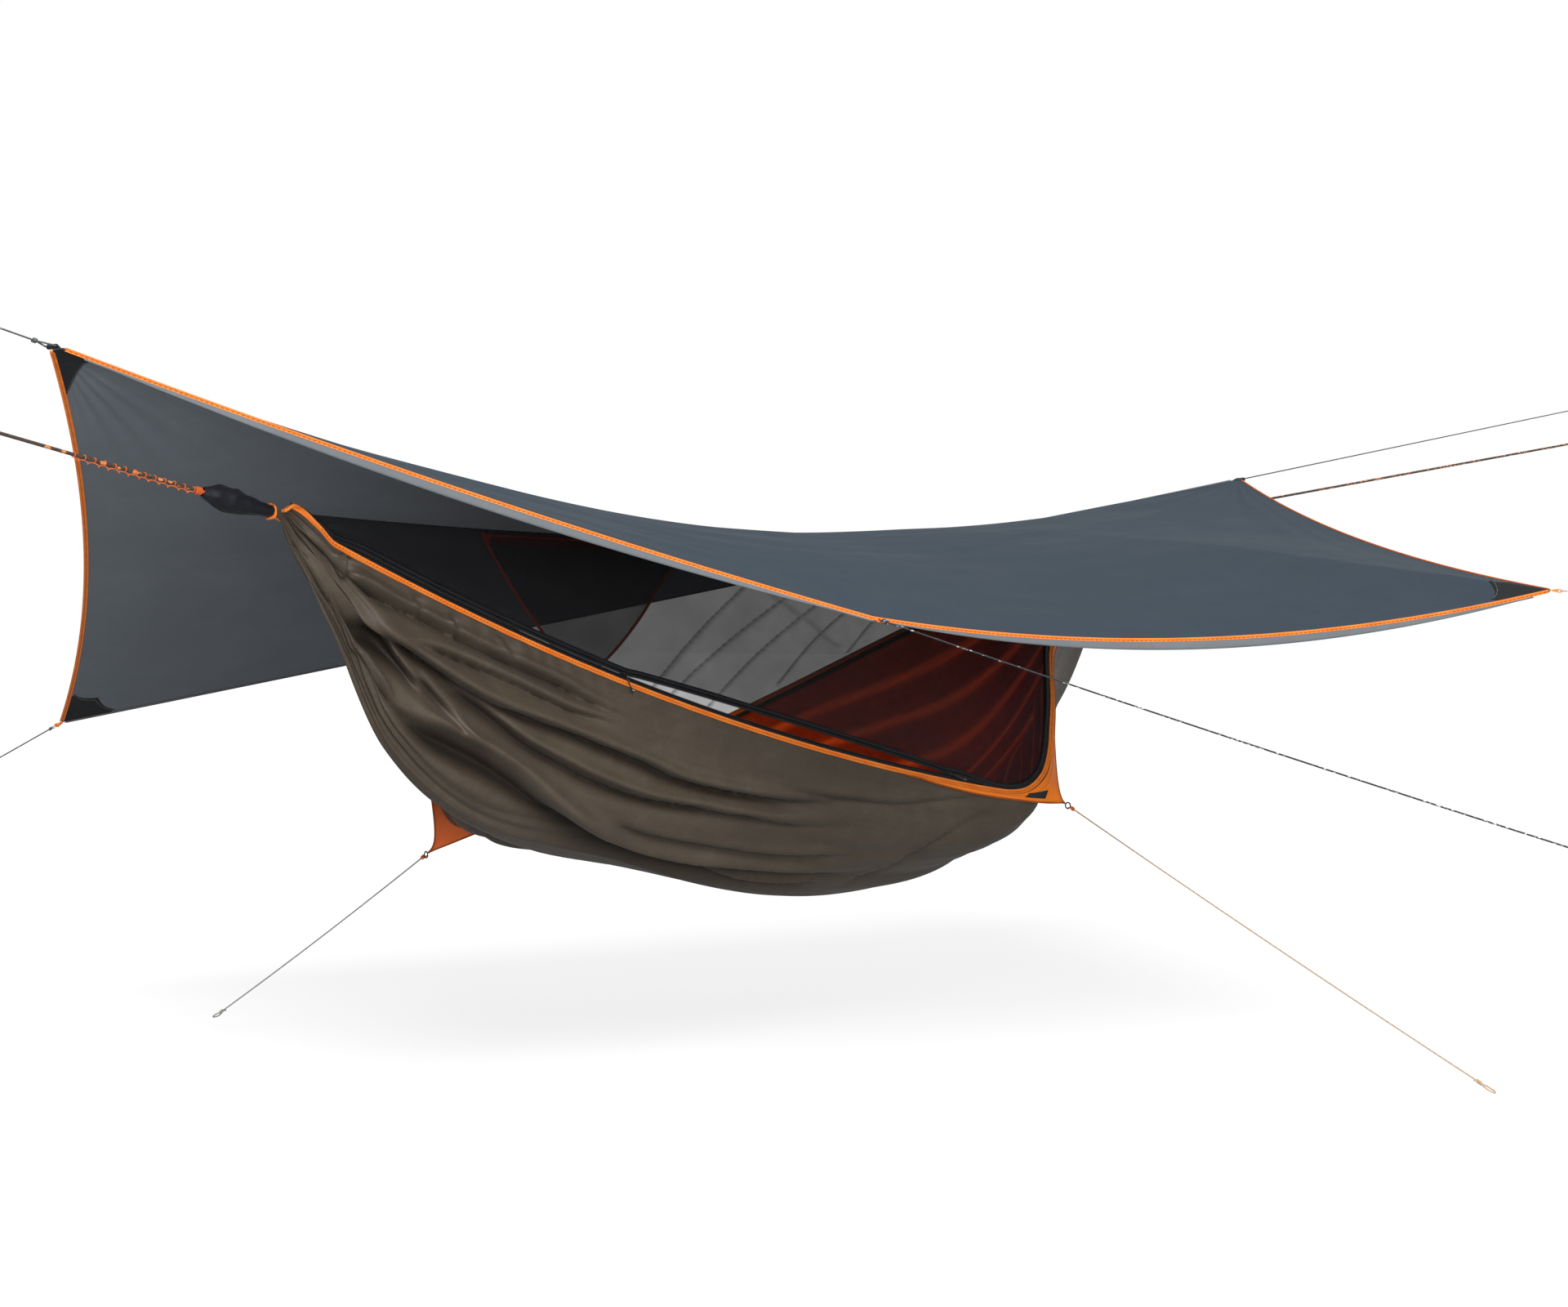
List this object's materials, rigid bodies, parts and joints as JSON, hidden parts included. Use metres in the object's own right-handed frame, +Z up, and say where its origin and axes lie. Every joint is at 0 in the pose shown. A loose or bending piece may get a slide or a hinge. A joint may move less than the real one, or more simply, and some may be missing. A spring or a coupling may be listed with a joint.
{
  "type": "camping hammock with net and tarp",
  "caption": "Gathered-end camping hammock with zipped bug net, ridgeline, guyed side corners and a diagonal rain tarp, strung up on its cords.",
  "frame": {"origin": "the far end of the left anchor loop's eye, where the object that holds the left suspension bears on it", "axes": "+X along the ridge from the left anchor to the right one, +Y away from the zipped entry side, +Z up"},
  "size_m": [5.5415, 3.5476, 1.504],
  "materials": {
    "brown_ripstop": "matt coated ripstop cloth",
    "orange_lining": "matt woven lining",
    "grey_tarp_cloth": "coated cloth, low sheen",
    "dark_patch_cloth": "matt reinforcing cloth",
    "orange_tape": "woven binding tape",
    "orange_panel_cloth": "matt coated cloth",
    "black_net": "fine knitted net",
    "black_zip_tape": "woven zip tape",
    "black_sleeve_cloth": "thin crinkled cloth",
    "brown_rope": "braided rope",
    "grey_cord": "braided cord",
    "tan_cord": "braided cord",
    "steel": "bright wire",
    "black_plastic": "moulded, satin"
  },
  "bodies": {
    "rig": {"anchor_loop_left": "brown_rope", "anchor_loop_right": "brown_rope", "bug_net": "black_net", "corner_guyline_far": "tan_cord", "corner_guyline_loop_far": "tan_cord", "corner_guyline_loop_near": "tan_cord", "corner_guyline_near": "tan_cord", "corner_knot_far": "orange_tape", "corner_knot_near": "orange_tape", "corner_panel_far": "orange_panel_cloth", "corner_panel_near": "orange_panel_cloth", "corner_ring_far": "black_plastic", "corner_ring_near": "black_plastic", "daisy_chain_left": "orange_tape", "daisy_chain_right": "orange_tape", "edge_piping_far": "orange_tape", "edge_piping_near": "orange_tape", "end_band_left": "orange_tape", "end_band_right": "orange_tape", "end_sleeve_left": "black_sleeve_cloth", "end_sleeve_right": "black_sleeve_cloth", "guyline_far": "grey_cord", "guyline_far_loop": "grey_cord", "guyline_knot_far": "grey_cord", "guyline_knot_side": "black_plastic", "guyline_side": "grey_cord", "guyline_side_loop": "grey_cord", "hammock_liner": "orange_lining", "hammock_shell": "brown_ripstop", "mesh_pocket": "black_net", "ridge_cord_knot_left": "grey_cord", "ridge_cord_left": "grey_cord", "ridge_cord_left_loop": "grey_cord", "ridge_cord_right": "grey_cord", "ridge_cord_right_loop": "grey_cord", "ridgeline": "grey_cord", "rope_eye_left": "orange_tape", "rope_eye_right": "orange_tape", "suspension_left": "brown_rope", "suspension_right": "brown_rope", "tarp_binding_far": "orange_tape", "tarp_binding_left": "orange_tape", "tarp_binding_near": "orange_tape", "tarp_binding_right": "orange_tape", "tarp_canopy": "grey_tarp_cloth", "tarp_hem_near": "grey_tarp_cloth", "tarp_patch_far": "dark_patch_cloth", "tarp_patch_left": "dark_patch_cloth", "tarp_patch_near": "dark_patch_cloth", "tarp_ring_far": "steel", "tarp_side_tab": "orange_tape", "tarp_tab_far": "orange_tape", "tarp_tab_near": "orange_tape", "tarp_webbing_left": "dark_patch_cloth", "tarp_webbing_right": "dark_patch_cloth", "zip_tape_lower": "black_zip_tape", "zip_tape_upper": "black_zip_tape"},
    "left_slider": {"zip_slider_left": "black_plastic"},
    "right_slider": {"zip_slider_right": "black_plastic"},
    "near_ring": {"tarp_ring_near": "steel"}
  },
  "joints": [
    {"name": "zip_left_slide", "type": "hinge", "parent": "rig", "child": "left_slider", "pos_m": [3.20062, -0.55344, 5.01433], "axis": [-0.2098, -0.9777, 0], "range_deg": [-4.4, 3.4]},
    {"name": "zip_right_slide", "type": "hinge", "parent": "rig", "child": "right_slider", "pos_m": [3.20062, -0.55344, 5.01433], "axis": [-0.2098, -0.9777, 0], "range_deg": [-3.4, 0.3]},
    {"name": "near_ring_swing", "type": "hinge", "parent": "rig", "child": "near_ring", "pos_m": [2.56459, -1.43875, -0.26757], "axis": [0.9062, 0.4229, 0], "range_deg": [-45, 95]}
  ]
}
